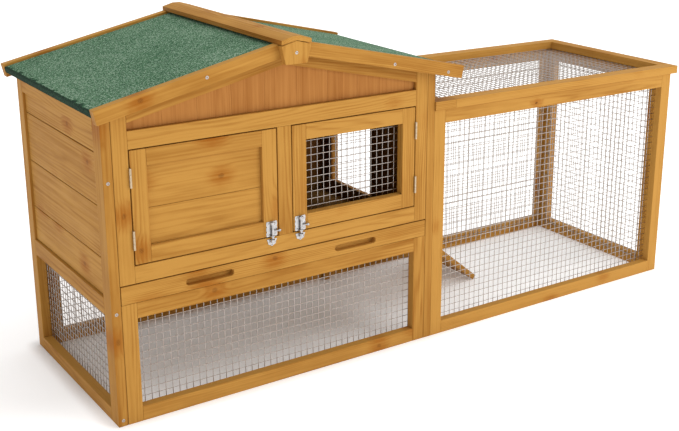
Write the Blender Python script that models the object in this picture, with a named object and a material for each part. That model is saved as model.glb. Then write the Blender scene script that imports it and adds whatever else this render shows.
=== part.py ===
"""Rabbit hutch: a gabled house with two doors, a pull-out tray and a ramp, beside a wire-mesh run.

Metres, +Z up. The front faces -Y and the run lies towards +X. The house's front left foot is the
corner that the sizes below are counted from, and the whole object stands centred on the origin.
"""

from math import atan, cos, pi, sin, tan

import bmesh
import bpy
from mathutils import Matrix, Vector

# Overall sizes
HOUSE_WIDTH = 0.7043
DEPTH = 0.4274
RUN_END = 1.4105
STOCK = 0.018            # thickness of every frame
RAIL = 0.0285            # face width of most rails and stiles
GAP = 0.0003             # between pieces that touch
MESH_THICKNESS = 0.0002
BOARD = 0.008            # infill boards

# Roof: every line is counted from the top edge of the barge boards
RIDGE_X = HOUSE_WIDTH / 2 + 0.004
RIDGE_Z = 0.6796
PITCH = atan(0.2239)
LEFT_OVERHANG = 0.0206
RIGHT_OVERHANG = 0.049
FRONT_OVERHANG = 0.0304
BACK_OVERHANG = 0.0276
BARGE_WIDTH = 0.0264
BARGE_THICKNESS = 0.017
FELT_DROP = 0.005        # the barge boards stand this much above the felt
FELT = 0.0025
ROOF_BOARD = 0.009
CAP_HALF_WIDTH = 0.031
CAP_FLAT = 0.008
CAP_TOP = 0.0083
CAP_EDGE = 0.0085
BLOCK_THICKNESS = 0.0137
BLOCK_BOTTOM_Z = 0.637
BLOCK_SHOULDER_Z = 0.6712

# Heights of the house
LOWER_RAIL_Z = 0.2029
TRAY_BOTTOM = 0.2328
TRAY_TOP = 0.2694
DOOR_BOTTOM = 0.3015
DOOR_TOP = 0.5137
TOP_RAIL_TOP = 0.5462
SIDE_TOP = 0.582
SIDE_TOP_RAIL = 0.546
MID_RAIL_BOTTOM = 0.2091
MID_RAIL_TOP = 0.2417
FRONT_STILE = 0.0347     # side panels
BACK_STILE = 0.0293
PLANK_SEAMS = (0.3135, 0.4092, 0.5058)
PLANK_GAP = 0.0006
PLANK_RECESS = 0.0045
BATTEN_DEPTH = 0.0325

# Doors
MULLION = (0.3383, 0.3678)
DOOR_CLEARANCE = 0.0022
HINGE_CLEARANCE = 0.0023
DOOR_RAIL = 0.0302
DOOR_SEAM_Z = 0.402
DOOR_SWING = 160
HINGE_HEIGHTS = (0.350, 0.4635)
HINGE_LENGTH = 0.035
KNUCKLE_RADIUS = 0.0022
KNUCKLE_Y = -0.0026
LEAF = 0.0006
LEAF_DEPTH = 0.014

# Bolts
BOLT_X = (0.3217, 0.3840)
BOLT_Y = -0.0056
BOLT_RADIUS = 0.0022
KEEPER_TOP = 0.2985
GUIDES = ((0.3038, 0.3066), (0.3275, 0.3335))
KNOB_Z = 0.3147
KNOB_REACH = 0.0157

# Tray
TRAY_FRONT = 0.018
SLOT_DEPTH = 0.0125
TRAY_BACK = 0.398
SLOT_OFFSET = 0.160
SLOT_LENGTH = 0.097
SLOT_HEIGHT = 0.013

# Doorway, ramp and run
SILL_Z = 0.2590
DOORWAY_Y = (0.209, 0.368)
DOORWAY_TOP = 0.445
RAMP_PIVOT = (0.7110, 0.2455)
RAMP_ANGLE = 39.7 * pi / 180
RAMP_Y = (0.200, 0.372)
RAMP_LENGTH = 0.3695
RAMP_THICKNESS = 0.012
CLEATS = 5
RUN_TOP = 0.4970
CORNER_BATTEN = 0.020    # thickens the run's front right corner
LID_TOP = 0.5160
LID_OVERHANG = (0.0038, 0.018, 0.0032)   # front, right, back
LID_RAIL = 0.0327

CAP_FRONT = -FRONT_OVERHANG - GAP - BLOCK_THICKNESS - 0.001
CENTRE = Vector(((RUN_END + LID_OVERHANG[1] - LEFT_OVERHANG) / 2,
                 (DEPTH + BACK_OVERHANG + CAP_FRONT) / 2, 0))

MATERIALS = {
    "pine": ((0.62, 0.36, 0.13, 1), 0.55, 0.0),
    "pine_board": ((0.58, 0.33, 0.12, 1), 0.6, 0.0),
    "gable_ply": ((0.45, 0.22, 0.09, 1), 0.6, 0.0),
    "felt": ((0.11, 0.22, 0.15, 1), 0.95, 0.0),
    "wire": ((0.6, 0.6, 0.58, 1), 0.4, 1.0),
    "hardware": ((0.65, 0.65, 0.63, 1), 0.35, 1.0),
}


def start():
    for obj in list(bpy.data.objects):
        bpy.data.objects.remove(obj, do_unlink=True)
    found = {}
    for name in ("rabbit_hutch", "cutters"):
        found[name] = bpy.data.collections.new(name)
        bpy.context.scene.collection.children.link(found[name])
    found["cutters"].hide_render = True
    return found


COLLECTIONS = start()


def material(node, kind):
    colour, roughness, metallic = MATERIALS[kind]
    made = bpy.data.materials.new(node)
    made.use_nodes = True
    shader = made.node_tree.nodes["Principled BSDF"]
    shader.inputs["Base Color"].default_value = colour
    shader.inputs["Roughness"].default_value = roughness
    shader.inputs["Metallic"].default_value = metallic
    made.diffuse_color = colour
    return made


def add(name, data, kind=None, collection="rabbit_hutch"):
    obj = bpy.data.objects.new(name, data)
    COLLECTIONS[collection].objects.link(obj)
    if kind:
        data.materials.append(material(name, kind))
    return obj


def box_mesh(name, x, y, z):
    """A mesh box between the given limits, counted from the object's centre point."""
    mesh = bpy.data.meshes.new(name)
    shape = bmesh.new()
    bmesh.ops.create_cube(shape, size=1)
    size = Vector((x[1] - x[0], y[1] - y[0], z[1] - z[0]))
    middle = Vector((x[0] + x[1], y[0] + y[1], z[0] + z[1])) / 2
    bmesh.ops.scale(shape, vec=size, verts=shape.verts)
    bmesh.ops.translate(shape, vec=middle - CENTRE, verts=shape.verts)
    shape.to_mesh(mesh)
    shape.free()
    return mesh


def box(name, x, y, z, kind):
    return add(name, box_mesh(name, x, y, z), kind)


def cutter(name, mesh):
    obj = add(name, mesh, collection="cutters")
    obj.hide_render = True
    obj.display_type = "WIRE"
    return obj


def join_or_cut(obj, tool, operation):
    change = obj.modifiers.new(tool.name, "BOOLEAN")
    change.operation = operation
    change.solver = "EXACT"
    change.object = tool


def cylinder_mesh(name, centre, direction, radius, length, sides=16):
    mesh = bpy.data.meshes.new(name)
    shape = bmesh.new()
    bmesh.ops.create_cone(shape, cap_ends=True, segments=sides, radius1=radius, radius2=radius, depth=length)
    turn = Vector(direction).to_track_quat("Z", "Y").to_matrix().to_4x4()
    where = Matrix.Translation(Vector(centre) - CENTRE)
    bmesh.ops.transform(shape, matrix=where @ turn, verts=shape.verts)
    shape.to_mesh(mesh)
    shape.free()
    return mesh


TURNS = {"front": (pi / 2, 0, 0), "side": (pi / 2, 0, pi / 2), "top": (0, 0, 0)}


def plate(name, facing, outline, holes, low, high, kind):
    """A flat piece cut to an outline. facing front: outline in X, Z and thickness along Y;
    side: outline in Y, Z and thickness along X; top: outline in X, Y and thickness along Z."""
    curve = bpy.data.curves.new(name, "CURVE")
    curve.dimensions = "2D"
    curve.fill_mode = "BOTH"
    curve.extrude = (high - low) / 2
    for loop in [outline] + list(holes):
        spline = curve.splines.new("POLY")
        spline.points.add(len(loop) - 1)
        for point, (u, v) in zip(spline.points, loop):
            point.co = (u, v, 0, 1)
        spline.use_cyclic_u = True
    obj = add(name, curve, kind)
    middle = (low + high) / 2
    across = {"front": (0, middle, 0), "side": (middle, 0, 0), "top": (0, 0, middle)}[facing]
    obj.rotation_euler = TURNS[facing]
    obj.location = Vector(across) - CENTRE
    return obj


def rectangle(u, v):
    return [(u[0], v[0]), (u[1], v[0]), (u[1], v[1]), (u[0], v[1])]


def slot(centre, length, height, steps=6):
    """An oblong outline with half-round ends."""
    radius = height / 2
    points = []
    for side, start_angle in ((1, -pi / 2), (-1, pi / 2)):
        middle = centre[0] + side * (length / 2 - radius)
        for step in range(steps + 1):
            angle = start_angle + pi * step / steps
            points.append((middle + radius * cos(angle), centre[1] + radius * sin(angle)))
    return points


def inside(outline_u, outline_v, left, right, bottom, top):
    return rectangle((outline_u[0] + left, outline_u[1] - right), (outline_v[0] + bottom, outline_v[1] - top))


# Roof lines

def roof_z(x, drop=0.0):
    """Height of the line that lies drop below the barge boards' top edge, measured square to the slope."""
    return RIDGE_Z - abs(x - RIDGE_X) * tan(PITCH) - drop / cos(PITCH)


ROOF_UNDER = FELT_DROP + FELT + GAP + ROOF_BOARD + GAP


def slope_point(side, along, drop):
    """A point that lies `along` down the slope from the ridge and `drop` square below its top line."""
    x = along * cos(PITCH) + drop * -sin(PITCH)
    return RIDGE_X + side * x, RIDGE_Z - along * sin(PITCH) - drop * cos(PITCH)


def ridge_end(drop, gap=GAP / 2):
    """How far down the slope a layer starts, so that it ends in a plumb face at the ridge."""
    return drop * tan(PITCH) + gap


def slope_strip(side, top, bottom, length):
    return [slope_point(side, ridge_end(top), top), slope_point(side, length, top),
            slope_point(side, length, bottom), slope_point(side, ridge_end(bottom), bottom)]


def roof():
    between = (-FRONT_OVERHANG + BARGE_THICKNESS + GAP, DEPTH + BACK_OVERHANG - BARGE_THICKNESS - GAP)
    front = (-FRONT_OVERHANG, -FRONT_OVERHANG + BARGE_THICKNESS)
    back = (DEPTH + BACK_OVERHANG - BARGE_THICKNESS, DEPTH + BACK_OVERHANG)
    for side, word, overhang in ((-1, "left", LEFT_OVERHANG), (1, "right", RIGHT_OVERHANG)):
        length = (HOUSE_WIDTH / 2 + side * (HOUSE_WIDTH / 2 - RIDGE_X) + overhang) / cos(PITCH)
        felt_top = FELT_DROP
        board_top = felt_top + FELT + GAP
        board_bottom = board_top + ROOF_BOARD
        board_end = length - FELT - GAP - 0.001
        plate(f"roof_board_{word}", "front", slope_strip(side, board_top, board_bottom, board_end), [],
              *between, "pine_board")
        wrapped = [slope_point(side, ridge_end(felt_top), felt_top),
                   slope_point(side, length - 0.001, felt_top),
                   slope_point(side, length - 0.001, board_bottom),
                   slope_point(side, board_end + GAP, board_bottom),
                   slope_point(side, board_end + GAP, board_top - GAP),
                   slope_point(side, ridge_end(board_top - GAP), board_top - GAP)]
        plate(f"roof_felt_{word}", "front", wrapped, [], *between, "felt")
        barge = slope_strip(side, 0, BARGE_WIDTH, length)
        plate(f"barge_board_front_{word}", "front", barge, [], *front, "pine")
        plate(f"barge_board_back_{word}", "front", barge, [], *back, "pine")
    edge = roof_z(RIDGE_X + CAP_HALF_WIDTH) + GAP
    cap = [(RIDGE_X - CAP_HALF_WIDTH, edge), (RIDGE_X, RIDGE_Z + GAP), (RIDGE_X + CAP_HALF_WIDTH, edge),
           (RIDGE_X + CAP_HALF_WIDTH, edge + CAP_EDGE), (RIDGE_X + CAP_FLAT, RIDGE_Z + CAP_TOP),
           (RIDGE_X - CAP_FLAT, RIDGE_Z + CAP_TOP), (RIDGE_X - CAP_HALF_WIDTH, edge + CAP_EDGE)]
    plate("ridge_cap", "front", cap, [], CAP_FRONT, DEPTH + BACK_OVERHANG, "pine")
    block = [(RIDGE_X - 0.0225, BLOCK_BOTTOM_Z), (RIDGE_X + 0.0225, BLOCK_BOTTOM_Z),
             (RIDGE_X + 0.0310, BLOCK_SHOULDER_Z), (RIDGE_X, RIDGE_Z - GAP),
             (RIDGE_X - 0.0310, BLOCK_SHOULDER_Z)]
    plate("ridge_end_block", "front", block, [], -FRONT_OVERHANG - GAP - BLOCK_THICKNESS,
          -FRONT_OVERHANG - GAP, "pine")


# House

INNER = (STOCK + 0.0008, HOUSE_WIDTH - STOCK - 0.0008)     # between the side panels
STILE_EDGES = (INNER[0] + RAIL, INNER[1] - RAIL)


def left_panel():
    depth, height = (0, DEPTH), (0, SIDE_TOP)
    lower = rectangle((FRONT_STILE, DEPTH - BACK_STILE), (RAIL - 0.002, MID_RAIL_BOTTOM))
    upper = rectangle((FRONT_STILE, DEPTH - BACK_STILE), (MID_RAIL_TOP, SIDE_TOP_RAIL))
    plate("left_panel_frame", "side", rectangle(depth, height), [lower, upper], 0, STOCK, "pine")
    levels = (MID_RAIL_TOP,) + PLANK_SEAMS + (SIDE_TOP_RAIL,)
    for number, (low, high) in enumerate(zip(levels, levels[1:]), 1):
        box(f"left_plank_{number}", (PLANK_RECESS, PLANK_RECESS + BOARD),
            (FRONT_STILE + GAP, DEPTH - BACK_STILE - GAP), (low + PLANK_GAP, high - PLANK_GAP), "pine_board")
    box("left_mesh", (STOCK + GAP, STOCK + GAP + MESH_THICKNESS), (STOCK + 0.0016, DEPTH - STOCK - 0.0016),
        (0.012, 0.2140), "wire")


def right_panel():
    outline = [(0, 0), (FRONT_STILE, 0), (FRONT_STILE, MID_RAIL_BOTTOM), (DEPTH - BACK_STILE, MID_RAIL_BOTTOM),
               (DEPTH - BACK_STILE, 0), (DEPTH, 0), (DEPTH, SIDE_TOP), (0, SIDE_TOP)]
    upper = rectangle((FRONT_STILE, DEPTH - BACK_STILE), (SILL_Z, SIDE_TOP_RAIL))
    plate("right_panel_frame", "side", outline, [upper], HOUSE_WIDTH - STOCK, HOUSE_WIDTH, "pine")
    y = (FRONT_STILE + GAP, DEPTH - BACK_STILE - GAP)
    z = (SILL_Z + GAP, SIDE_TOP_RAIL - GAP)
    boards = [(y[0], z[0]), (DOORWAY_Y[0], z[0]), (DOORWAY_Y[0], DOORWAY_TOP), (DOORWAY_Y[1], DOORWAY_TOP),
              (DOORWAY_Y[1], z[0]), (y[1], z[0]), (y[1], z[1]), (y[0], z[1])]
    plate("right_panel_boards", "side", boards, [], HOUSE_WIDTH - 0.009 - BOARD, HOUSE_WIDTH - 0.009, "pine_board")


def front():
    x0, x1 = INNER
    left, right = STILE_EDGES

    def under_roof(x):
        return x, roof_z(x, ROOF_UNDER) - GAP

    upper = [(x0, TRAY_TOP), (x1, TRAY_TOP), under_roof(x1), under_roof(right), (right, TOP_RAIL_TOP),
             (left, TOP_RAIL_TOP), under_roof(left), under_roof(x0)]
    doors = [rectangle((left, MULLION[0]), (DOOR_BOTTOM, DOOR_TOP)),
             rectangle((MULLION[1], right), (DOOR_BOTTOM, DOOR_TOP))]
    plate("front_upper_frame", "front", upper, doors, 0, STOCK, "pine")
    inner = (left + GAP, right - GAP)
    gable = [(inner[0], TOP_RAIL_TOP + GAP), (inner[1], TOP_RAIL_TOP + GAP), under_roof(inner[1]),
             under_roof(RIDGE_X), under_roof(inner[0])]
    plate("front_gable_panel", "front", gable, [], 0.0088, 0.0088 + BOARD, "gable_ply")
    for word, outer, middle in (("left", inner[0], RIDGE_X - GAP), ("right", inner[1], RIDGE_X + GAP)):
        strip = [under_roof(outer), under_roof(middle)]
        strip += [(x, z - BATTEN_DEPTH) for x, z in reversed(strip)]
        plate(f"gable_batten_{word}", "front", strip, [], 0, 0.0085, "pine")
    lower = rectangle(INNER, (0, TRAY_BOTTOM))
    plate("front_lower_frame", "front", lower, [rectangle((left, right), (RAIL, LOWER_RAIL_Z))], 0, STOCK, "pine")
    box("front_lower_mesh", (STOCK + 0.0016, HOUSE_WIDTH - STOCK - 0.0016),
        (STOCK + GAP, STOCK + GAP + MESH_THICKNESS), (0.012, 0.2140), "wire")


def back():
    x0, x1 = INNER
    left, right = STILE_EDGES

    def under_roof(x):
        return x, roof_z(x, ROOF_UNDER) - GAP

    frame = [(x0, 0), (x1, 0), under_roof(x1), under_roof(right), (right, TOP_RAIL_TOP), (left, TOP_RAIL_TOP),
             under_roof(left), under_roof(x0)]
    holes = [rectangle((left, right), (RAIL, MID_RAIL_BOTTOM)), rectangle((left, right), (MID_RAIL_TOP, DOOR_TOP))]
    plate("back_frame", "front", frame, holes, DEPTH - STOCK, DEPTH, "pine")
    boards = [(x0, 0.232), (x1, 0.232), under_roof(x1), under_roof(RIDGE_X), under_roof(x0)]
    inner_face = DEPTH - STOCK - GAP
    plate("back_boards", "front", boards, [], inner_face - BOARD, inner_face, "pine_board")
    box("back_lower_mesh", (STOCK + 0.0016, HOUSE_WIDTH - STOCK - 0.0016),
        (inner_face - MESH_THICKNESS, inner_face), (0.012, 0.2315), "wire")


def tray_runners():
    y = (STOCK + 0.002, TRAY_BACK + 0.001)
    z = (TRAY_BOTTOM - 0.018, TRAY_BOTTOM - GAP)
    box("tray_runner_left", (STOCK + GAP, STOCK + GAP + 0.016), y, z, "pine")
    box("tray_runner_right", (HOUSE_WIDTH - STOCK - GAP - 0.016, HOUSE_WIDTH - STOCK - GAP), y, z, "pine")


# Moving pieces: each one hangs from an empty that stands on its joint's axis

def joint(name, point):
    empty = add(name, None)
    empty.empty_display_size = 0.03
    empty.location = Vector(point) - CENTRE
    return empty


def hang(pieces, empty):
    bpy.context.view_layer.update()
    for piece in pieces:
        piece.parent = empty
        piece.matrix_parent_inverse = empty.matrix_world.inverted()


def hinge(word, number, side, stile_edge, z):
    """A butt hinge in the gap beside a stile: the outer knuckles are fixed, the middle one turns.
    side is +1 where the door lies towards +X of the stile."""
    axis_x = stile_edge + side * HINGE_CLEARANCE / 2
    low, high = z - HINGE_LENGTH / 2, z + HINGE_LENGTH / 2
    third = HINGE_LENGTH / 3
    made = []
    for part, offset in (("fixed", -1), ("moving", 1)):
        near = axis_x + side * offset * 0.0003
        far = near + side * offset * LEAF
        name = f"{word}_hinge_{number}_{part}_leaf"
        leaf = box(name, sorted((near, far)), (KNUCKLE_Y, LEAF_DEPTH), (low, high), "hardware")
        if part == "fixed":
            spans = ((low, low + third - 0.0002), (high - third + 0.0002, high))
        else:
            spans = ((low + third + 0.0002, high - third - 0.0002),)
        free = [(low, high)] if part == "moving" else [(low + third - 0.0002, high - third + 0.0002)]
        for index, (bottom, top) in enumerate(free):
            bite = cutter(f"{name}_clearance_{index}",
                          box_mesh("clearance", (axis_x - 0.004, axis_x + 0.004), (KNUCKLE_Y - 0.004, 0.0003),
                                   (bottom - (0.001 if part == "moving" else 0), top + (0.001 if part == "moving" else 0))))
            join_or_cut(leaf, bite, "DIFFERENCE")
        for index, (bottom, top) in enumerate(spans):
            barrel = cutter(f"{name}_barrel_{index}",
                            cylinder_mesh("barrel", (axis_x, KNUCKLE_Y, (bottom + top) / 2), (0, 0, 1),
                                          KNUCKLE_RADIUS, top - bottom))
            join_or_cut(leaf, barrel, "UNION")
            web = cutter(f"{name}_web_{index}", box_mesh("web", sorted((near, far)), (KNUCKLE_Y, 0.002), (bottom, top)))
            join_or_cut(leaf, web, "UNION")
        made.append(leaf)
    return made


def bolt(word, x):
    """A small barrel bolt: guide plate on the door, sliding bolt, and keeper on the rail below."""
    face = -GAP
    plate_front = face - 0.0009
    guide = box(f"{word}_bolt_plate", (x - 0.0118, x + 0.0118), (plate_front, face), (GUIDES[0][0], GUIDES[1][1]),
                "hardware")
    for number, (low, high) in enumerate(GUIDES):
        loop = cutter(f"{word}_guide_{number}", box_mesh("loop", (x - 0.0042, x + 0.0042),
                                                         (BOLT_Y - 0.0042, plate_front + 0.0003), (low, high)))
        join_or_cut(guide, loop, "UNION")
    bore = cutter(f"{word}_guide_bore", cylinder_mesh("bore", (x, BOLT_Y, KNOB_Z), (0, 0, 1), BOLT_RADIUS + 0.0004,
                                                      0.06))
    join_or_cut(guide, bore, "DIFFERENCE")
    tip, end = KEEPER_TOP + 0.0005, GUIDES[1][1] + 0.0012
    rod = add(f"{word}_bolt", cylinder_mesh("rod", (x, BOLT_Y, (tip + end) / 2), (0, 0, 1), BOLT_RADIUS, end - tip),
              "hardware")
    stem = cutter(f"{word}_bolt_stem", cylinder_mesh("stem", (x + KNOB_REACH / 2, BOLT_Y, KNOB_Z), (1, 0, 0), 0.0014,
                                                     KNOB_REACH, 12))
    join_or_cut(rod, stem, "UNION")
    knob = cutter(f"{word}_bolt_knob", cylinder_mesh("knob", (x + KNOB_REACH, BOLT_Y, KNOB_Z), (1, 0, 0), 0.0030,
                                                     0.0055))
    join_or_cut(rod, knob, "UNION")
    steps = 10
    arc = [(x - 0.0105 * cos(pi * step / steps), KEEPER_TOP - 0.0140 * sin(pi * step / steps))
           for step in range(steps + 1)]
    keeper = plate(f"{word}_keeper", "front", arc, [], plate_front, face, "hardware")
    keeper = as_mesh(keeper)
    loop = cutter(f"{word}_keeper_loop", box_mesh("loop", (x - 0.0042, x + 0.0042),
                                                  (BOLT_Y - 0.0042, plate_front + 0.0003),
                                                  (KEEPER_TOP - 0.006, KEEPER_TOP)))
    join_or_cut(keeper, loop, "UNION")
    hole = cutter(f"{word}_keeper_bore", cylinder_mesh("bore", (x, BOLT_Y, KEEPER_TOP), (0, 0, 1),
                                                       BOLT_RADIUS + 0.0004, 0.03))
    join_or_cut(keeper, hole, "DIFFERENCE")
    slide = joint(f"{word}_bolt_slide", (x, BOLT_Y, KNOB_Z))
    hang([rod], slide)
    return guide, slide


def as_mesh(obj):
    """The same piece as a mesh, with the curve's loose caps welded, so that a Boolean can work on it."""
    bpy.context.view_layer.update()
    evaluated = obj.evaluated_get(bpy.context.evaluated_depsgraph_get())
    mesh = bpy.data.meshes.new_from_object(evaluated)
    shape = bmesh.new()
    shape.from_mesh(mesh)
    bmesh.ops.remove_doubles(shape, verts=shape.verts, dist=0.00001)
    shape.to_mesh(mesh)
    shape.free()
    name, place, old = obj.name, obj.matrix_world.copy(), obj.data
    bpy.data.objects.remove(obj)
    bpy.data.curves.remove(old)
    made = add(name, mesh)
    made.matrix_world = place
    return made


def as_cutter(obj):
    made = as_mesh(obj)
    COLLECTIONS["rabbit_hutch"].objects.unlink(made)
    COLLECTIONS["cutters"].objects.link(made)
    made.hide_render = True
    made.display_type = "WIRE"
    return made


def doors():
    left, right = STILE_EDGES
    z = (DOOR_BOTTOM + DOOR_CLEARANCE, DOOR_TOP - DOOR_CLEARANCE)
    hinge_side = {"left_door": (left, 1), "right_door": (right, -1)}
    spans = {"left_door": (left + HINGE_CLEARANCE, MULLION[0] - DOOR_CLEARANCE),
             "right_door": (MULLION[1] + DOOR_CLEARANCE, right - HINGE_CLEARANCE)}
    for (word, x), bolt_x in zip(spans.items(), BOLT_X):
        hole = inside(x, z, *[DOOR_RAIL] * 4)
        pieces = [plate(f"{word}_frame", "front", rectangle(x, z), [hole], 0, STOCK, "pine")]
        (u0, v0), (u1, v1) = hole[0], hole[2]
        if word == "left_door":
            levels = (v0, DOOR_SEAM_Z, v1)
            for name, low, high in zip(("lower", "upper"), levels, levels[1:]):
                pieces.append(box(f"{word}_{name}_board", (u0 + GAP, u1 - GAP), (0.008, 0.008 + BOARD),
                                  (low + GAP, high - GAP), "pine_board"))
        else:
            pieces.append(box(f"{word}_mesh", (u0 - 0.014, u1 + 0.014),
                              (STOCK + GAP, STOCK + GAP + MESH_THICKNESS), (v0 - 0.014, v1 + 0.014), "wire"))
        edge, side = hinge_side[word]
        for number, height in enumerate(HINGE_HEIGHTS, 1):
            pieces.append(hinge(word, number, side, edge, height)[1])
        guide, slide = bolt(word, bolt_x)
        pieces += [guide, slide]
        hang(pieces, joint(f"{word}_pivot", (edge + side * HINGE_CLEARANCE / 2, KNUCKLE_Y, DOOR_BOTTOM)))


def tray():
    x = (INNER[0] + 0.0006, INNER[1] - 0.0006)
    z = (TRAY_BOTTOM + 0.0005, TRAY_TOP - 0.0022)
    middle = (x[0] + x[1]) / 2
    slots = [slot((middle + side * SLOT_OFFSET, (z[0] + z[1]) / 2 - 0.001), SLOT_LENGTH, SLOT_HEIGHT)
             for side in (-1, 1)]
    front_board = box("tray_front", x, (0, TRAY_FRONT), z, "pine")
    for number, outline in enumerate(slots):
        grip = plate(f"tray_slot_{number}", "front", outline, [], -0.002, SLOT_DEPTH, "pine")
        join_or_cut(front_board, as_cutter(grip), "DIFFERENCE")
    outer_x = (STOCK + 0.0025, HOUSE_WIDTH - STOCK - 0.0025)
    outer_z = (TRAY_BOTTOM + GAP, TRAY_TOP - 0.0034)
    pan = box("tray_pan", outer_x, (TRAY_FRONT + GAP, TRAY_BACK), outer_z, "pine_board")
    wall = 0.004
    hollow = cutter("tray_hollow", box_mesh("hollow", (outer_x[0] + wall, outer_x[1] - wall),
                                            (TRAY_FRONT + GAP + wall, TRAY_BACK - wall),
                                            (outer_z[0] + wall, outer_z[1] + 0.02)))
    join_or_cut(pan, hollow, "DIFFERENCE")
    hang([front_board, pan], joint("tray_slide", (middle, 0, TRAY_BOTTOM)))


def ramp():
    pivot_x, pivot_z = RAMP_PIVOT
    y = RAMP_Y

    def down(along, lift):
        """A point of the ramp's side: along its length from the pivot, and lift above its top face."""
        return (pivot_x + along * cos(RAMP_ANGLE) + lift * sin(RAMP_ANGLE),
                pivot_z - along * sin(RAMP_ANGLE) + lift * cos(RAMP_ANGLE))

    side_view = [down(0.004, -RAMP_THICKNESS), down(RAMP_LENGTH, -RAMP_THICKNESS), down(RAMP_LENGTH, 0),
                 down(0.004, 0)]
    board = as_mesh(plate("ramp_board", "front", side_view, [], *y, "pine_board"))
    for number in range(CLEATS):
        start_at = 0.035 + number * (RAMP_LENGTH - 0.075) / (CLEATS - 1)
        strip = [down(start_at, -0.002), down(start_at + 0.012, -0.002), down(start_at + 0.012, 0.004),
                 down(start_at, 0.004)]
        cleat = plate(f"cleat_{number}", "front", strip, [], y[0] + 0.030, y[1] - 0.030, "pine_board")
        join_or_cut(board, as_cutter(cleat), "UNION")
    leaf_y = (y[0] + 0.03, y[1] - 0.03)
    fixed = box("ramp_hinge", (HOUSE_WIDTH + GAP, HOUSE_WIDTH + GAP + 0.0012), leaf_y, (0.2140, pivot_z), "hardware")
    barrel = cutter("ramp_hinge_barrel", cylinder_mesh("barrel", (pivot_x - 0.0028, (y[0] + y[1]) / 2, pivot_z + 0.0004),
                                                       (0, 1, 0), 0.0036, leaf_y[1] - leaf_y[0]))
    join_or_cut(fixed, barrel, "UNION")
    hang([board], joint("ramp_pivot", (pivot_x - 0.0028, (y[0] + y[1]) / 2, pivot_z + 0.0004)))


def run():
    x = (HOUSE_WIDTH + GAP, RUN_END)
    z = (0, RUN_TOP)
    hole = inside(x, z, *[RAIL] * 4)
    plate("run_front_frame", "front", rectangle(x, z), [hole], 0, STOCK, "pine")
    plate("run_back_frame", "front", rectangle(x, z), [hole], DEPTH - STOCK, DEPTH, "pine")
    depth = (STOCK + GAP, DEPTH - STOCK - GAP)
    end = plate("run_end_frame", "side", rectangle(depth, z), [inside(depth, z, *[RAIL] * 4)],
                RUN_END - STOCK, RUN_END, "pine")
    corner = box_mesh("run_corner_batten", (RUN_END - RAIL, RUN_END - STOCK + 0.002),
                      (depth[0], depth[0] + CORNER_BATTEN), z)
    join_or_cut(as_mesh(end), cutter("run_corner_batten", corner), "UNION")
    sheet = (0.012, RUN_TOP - 0.012)
    long_span = (HOUSE_WIDTH + 0.012, RUN_END - STOCK - 2 * GAP)
    box("run_front_mesh", (long_span[0], RUN_END - RAIL - GAP), (STOCK + GAP, STOCK + GAP + MESH_THICKNESS), sheet, "wire")
    box("run_back_mesh", long_span, (DEPTH - STOCK - GAP - MESH_THICKNESS, DEPTH - STOCK - GAP), sheet, "wire")
    inner_face = RUN_END - STOCK - GAP
    box("run_end_mesh", (inner_face - MESH_THICKNESS, inner_face),
        (depth[0] + CORNER_BATTEN + GAP, depth[1] - 0.0014), sheet, "wire")


def lid():
    front_out, right_out, back_out = LID_OVERHANG
    x = (HOUSE_WIDTH + GAP, RUN_END + right_out)
    y = (-front_out, DEPTH + back_out)
    mesh_z = (RUN_TOP + GAP, RUN_TOP + GAP + MESH_THICKNESS)
    plate("run_lid_frame", "top", rectangle(x, y), [inside(x, y, *[LID_RAIL] * 4)], mesh_z[1] + GAP, LID_TOP, "pine")
    box("run_lid_mesh", (x[0] + 0.012, RUN_END - 0.008), (0.008, DEPTH - 0.008), mesh_z, "wire")


left_panel()
right_panel()
front()
back()
tray_runners()
roof()
doors()
tray()
ramp()
run()
lid()
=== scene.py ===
"""The rabbit hutch's looks: stained pine, mineral felt, welded wire and zinc hardware.

Metres. Places are counted from the house's front left foot, and SHIFT takes them to the row frame.
"""

import random
from math import atan, cos, pi, sin, tan

import bmesh
import bpy
from mathutils import Matrix, Vector, noise


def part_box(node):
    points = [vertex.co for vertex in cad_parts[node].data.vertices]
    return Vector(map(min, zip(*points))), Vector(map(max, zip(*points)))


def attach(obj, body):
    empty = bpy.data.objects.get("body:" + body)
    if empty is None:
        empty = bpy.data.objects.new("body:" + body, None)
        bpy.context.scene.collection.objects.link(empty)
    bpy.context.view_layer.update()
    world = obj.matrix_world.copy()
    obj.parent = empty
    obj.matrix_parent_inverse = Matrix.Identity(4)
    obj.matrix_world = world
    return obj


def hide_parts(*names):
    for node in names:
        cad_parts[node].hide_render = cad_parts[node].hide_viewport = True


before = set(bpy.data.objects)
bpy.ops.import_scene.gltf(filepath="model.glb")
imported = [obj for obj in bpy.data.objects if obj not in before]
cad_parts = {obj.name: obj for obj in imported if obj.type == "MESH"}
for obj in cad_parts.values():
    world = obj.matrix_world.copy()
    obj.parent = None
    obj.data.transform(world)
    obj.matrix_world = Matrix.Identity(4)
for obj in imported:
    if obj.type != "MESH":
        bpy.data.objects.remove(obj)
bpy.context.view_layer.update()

SHIFT = Vector((-0.70395, -0.2048, 0))
X, Y, Z = Vector((1, 0, 0)), Vector((0, 1, 0)), Vector((0, 0, 1))
WIDTH, DEPTH, RUN_END = 0.7043, 0.4274, 1.4105
STOCK, RAIL, GAP = 0.018, 0.0285, 0.0003
HAIR = 0.00015                          # joint between members of one frame
X0, X1 = 0.0188, 0.6855                 # between the side panels
E0, E1 = X0 + RAIL, X1 - RAIL           # inner edges of the stiles
FRONT_POST, BACK_POST = 0.0347, 0.0293  # of the side panels
SIDE_RAIL = (0.546, 0.582)              # each rail from its bottom to its top
MID_RAIL = (0.2091, 0.2417)
LOWER_RAIL = (0.2029, 0.2328)
SILL_RAIL = (0.2694, 0.3015)
TOP_RAIL = (0.5137, 0.5462)
DOORWAY_SILL = 0.259
MULLION = (0.3383, 0.3678)              # between the doors, from left to right
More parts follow.
